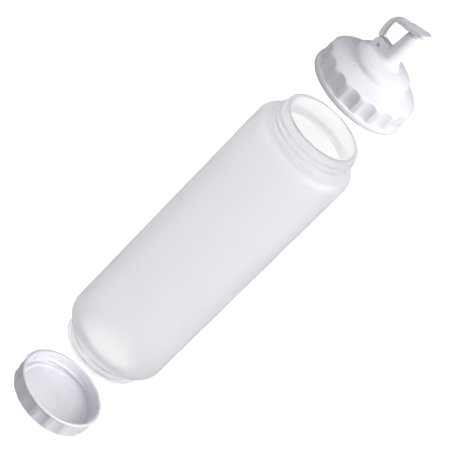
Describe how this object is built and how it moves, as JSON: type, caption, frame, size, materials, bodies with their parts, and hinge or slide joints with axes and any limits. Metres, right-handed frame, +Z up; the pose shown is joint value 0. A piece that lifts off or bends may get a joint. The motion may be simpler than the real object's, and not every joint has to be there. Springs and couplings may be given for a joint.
{
  "type": "two-ended sauce squeeze bottle",
  "caption": "Frosted sauce squeeze bottle lying on its side with its screw base cap and its dispensing cap taken off, and a flip lever shut over the nozzle.",
  "frame": {"origin": "middle of the footprint of the three pieces, at the height of the surface that they lie on", "axes": "+X from the base cap through the bottle to the dispensing nozzle, +Y towards the lever's hinge, +Z up"},
  "size_m": [0.371, 0.07, 0.0696],
  "materials": {
    "frosted_polyethylene": "frosted, slightly see-through",
    "white_plastic": "glossy white"
  },
  "bodies": {
    "bottle": {"bottle_body": "frosted_polyethylene", "dispensing_cap": "white_plastic", "hinge_pin": "white_plastic", "base_cap": "white_plastic"},
    "lever": {"flip_lever": "white_plastic"}
  },
  "joints": [
    {"name": "lever_hinge", "type": "hinge", "parent": "bottle", "child": "lever", "pos_m": [0.15862, 0.01035, 0.02826], "axis": [0, 0.2588, 0.9659], "range_deg": [0, 80]}
  ]
}
